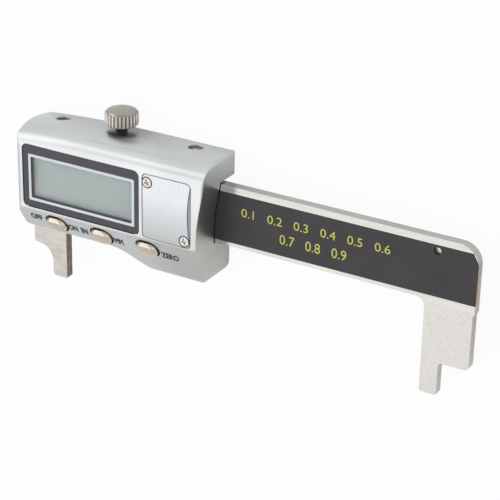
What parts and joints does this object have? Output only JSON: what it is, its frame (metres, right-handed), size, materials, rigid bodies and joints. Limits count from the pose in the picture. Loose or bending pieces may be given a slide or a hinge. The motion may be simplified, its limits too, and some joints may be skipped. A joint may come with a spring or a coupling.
{
  "type": "chain wear gauge",
  "caption": "Digital gauge for chain wear: a steel beam with a fixed probe, and a cast head with a display, buttons, a lock screw and a moving probe that slides along the beam.",
  "frame": {"origin": "middle of the gauge's outline, on the plane of the head's back, on which the gauge lies", "axes": "+X along the beam from the head to the fixed probe, +Y from the probes to the lock screw, +Z out of the display"},
  "size_m": [0.1254, 0.0538, 0.0165],
  "materials": {
    "ground_steel": "ground stainless steel with fine cross scratches",
    "board_laminate": "cream glass-fibre laminate, sawn edge",
    "label_film": "charcoal polyester film with yellow-green print",
    "screw_steel": "bright nickel-plated steel",
    "satin_zinc": "satin chrome-plated zinc die-casting",
    "plate_steel": "brushed stainless sheet",
    "brass_strip": "drawn brass strip",
    "black_steel": "blackened alloy steel",
    "bezel_plastic": "dark grey moulded plastic, fine matt grain",
    "window_clear": "clear hard-coated acrylic",
    "panel_glass": "grey-green liquid crystal panel",
    "connector_rubber": "layered conductive silicone rubber",
    "green_board": "green solder-masked board",
    "chip_resin": "black potting resin",
    "pad_rubber": "grey silicone rubber",
    "cell_steel": "bright pressed steel can",
    "spring_brass": "tinned spring brass",
    "satin_cover": "satin chrome-plated cover",
    "knob_nickel": "nickel-plated brass, straight knurl",
    "button_nickel": "champagne satin-plated caps"
  },
  "bodies": {
    "beam": {"beam": "ground_steel", "scale_board": "board_laminate", "scale_label": "label_film", "stop_screw": "screw_steel"},
    "head": {"housing": "satin_zinc", "moving_probe": "ground_steel", "back_plate": "plate_steel", "back_plate_screws": "screw_steel", "gib_strip": "brass_strip", "gib_set_screws": "black_steel", "display_bezel": "bezel_plastic", "display_window": "window_clear", "display_panel": "panel_glass", "panel_connectors": "connector_rubber", "main_board": "green_board", "main_board_screws": "screw_steel", "controller_chip": "chip_resin", "button_pad": "pad_rubber", "battery": "cell_steel", "battery_spring": "spring_brass", "battery_side_contact": "spring_brass", "battery_cover": "satin_cover", "battery_cover_screws": "screw_steel"},
    "lock_screw": {"lock_screw": "knob_nickel"},
    "power_button": {"power_button": "button_nickel"},
    "unit_button": {"unit_button": "button_nickel"},
    "zero_button": {"zero_button": "button_nickel"}
  },
  "joints": [
    {"name": "head_slide", "type": "slide", "parent": "beam", "child": "head", "axis": [1, 0, 0], "range_m": [-0.008, 0.05]},
    {"name": "lock_turn", "type": "hinge", "parent": "head", "child": "lock_screw", "pos_m": [-0.0362, 0.02255, 0.00535], "axis": [0, 1, 0], "range_deg": [-36, 540]},
    {"name": "power_button_press", "type": "slide", "parent": "head", "child": "power_button", "axis": [0, 0.4695, -0.8829], "range_m": [0, 0.0004], "stiffness_N_per_m": 1500, "springref_m": -0.0002},
    {"name": "unit_button_press", "type": "slide", "parent": "head", "child": "unit_button", "axis": [0, 0.4695, -0.8829], "range_m": [0, 0.0004], "stiffness_N_per_m": 1500, "springref_m": -0.0002},
    {"name": "zero_button_press", "type": "slide", "parent": "head", "child": "zero_button", "axis": [0, 0.4695, -0.8829], "range_m": [0, 0.0004], "stiffness_N_per_m": 1500, "springref_m": -0.0002}
  ]
}
